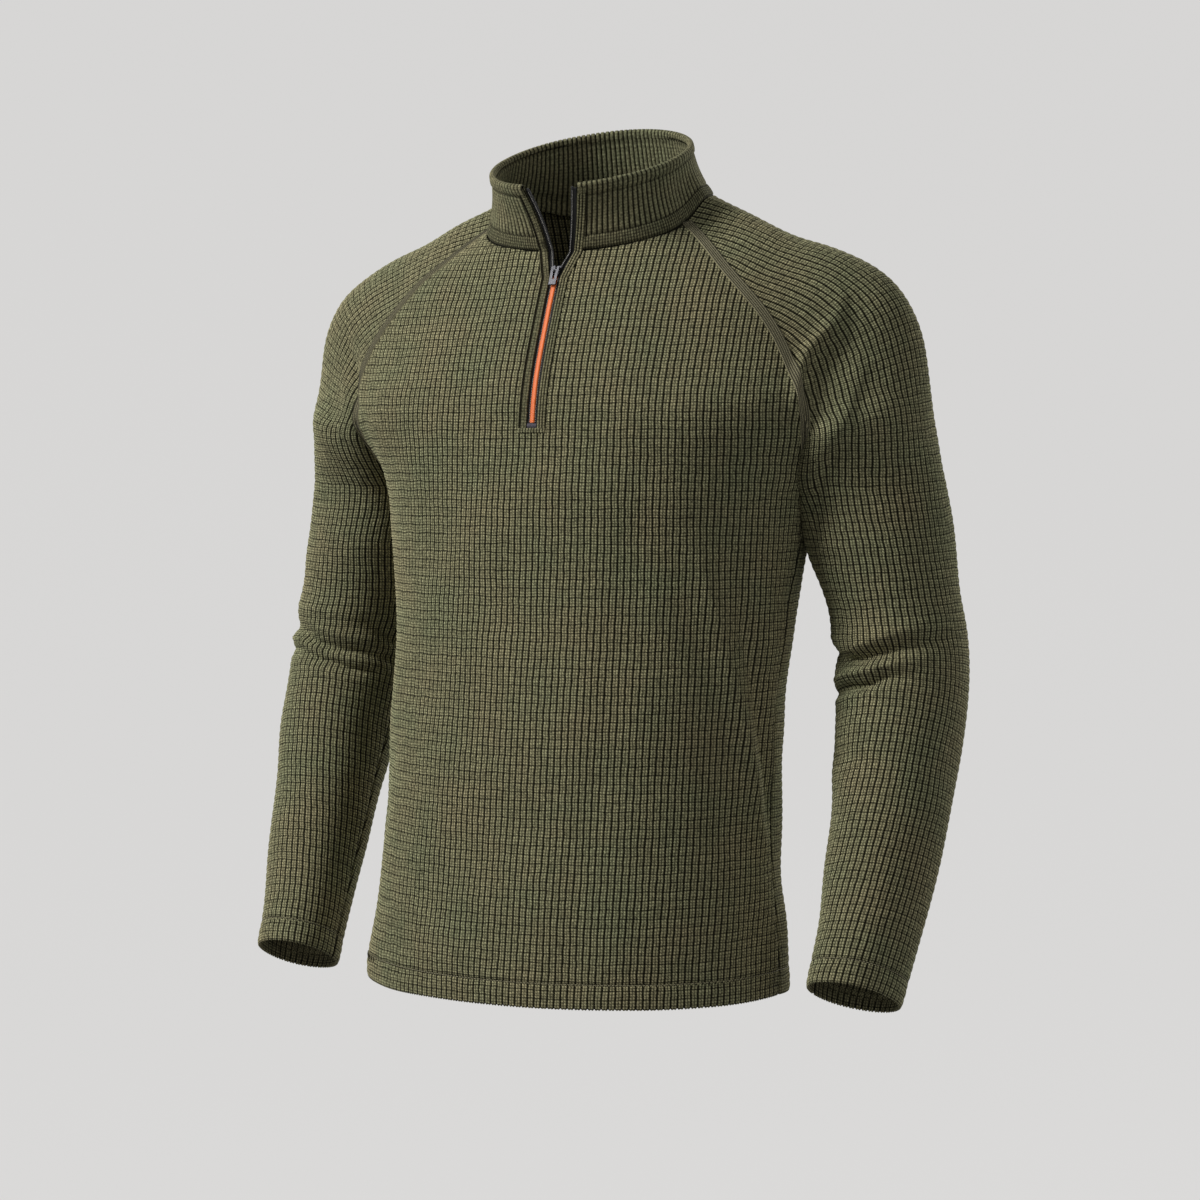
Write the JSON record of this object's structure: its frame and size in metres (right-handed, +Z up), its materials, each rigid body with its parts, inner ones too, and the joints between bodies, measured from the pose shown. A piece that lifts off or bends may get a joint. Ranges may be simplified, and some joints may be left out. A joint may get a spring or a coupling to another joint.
{
  "type": "quarter-zip long-sleeve top",
  "caption": "Long-sleeve knit pullover in its worn form, with raglan sleeves, a stand collar and a short front zip open at the collar.",
  "frame": {"origin": "on the body's axis between the shoulders, at the level where the neck seam meets the shoulder line", "axes": "+Z up, -Y the way the front faces, +X towards the wearer's left"},
  "size_m": [0.6632, 0.2988, 0.7593],
  "materials": {
    "knit": "olive grid knit, matt",
    "tape": "black woven polyester",
    "chain": "orange coated nylon coil",
    "coil": "black nylon coil",
    "stop": "grey bar tack of thread",
    "metal": "grey plated zinc alloy, satin"
  },
  "bodies": {
    "top": {"front": "knit", "back": "knit", "sleeve_left": "knit", "sleeve_right": "knit", "collar": "knit", "zip_tape_left": "tape", "zip_tape_right": "tape", "zip_chain": "chain", "zip_coil_left": "coil", "zip_coil_right": "coil", "zip_bottom_stop": "stop", "zip_slider": "metal"},
    "pull_tab": {"zip_pull": "metal"}
  },
  "joints": [
    {"name": "pull_tab_turn", "type": "hinge", "parent": "top", "child": "pull_tab", "pos_m": [0, -0.05533, -0.06573], "axis": [-1, 0, 0], "range_deg": [0, 150]}
  ]
}
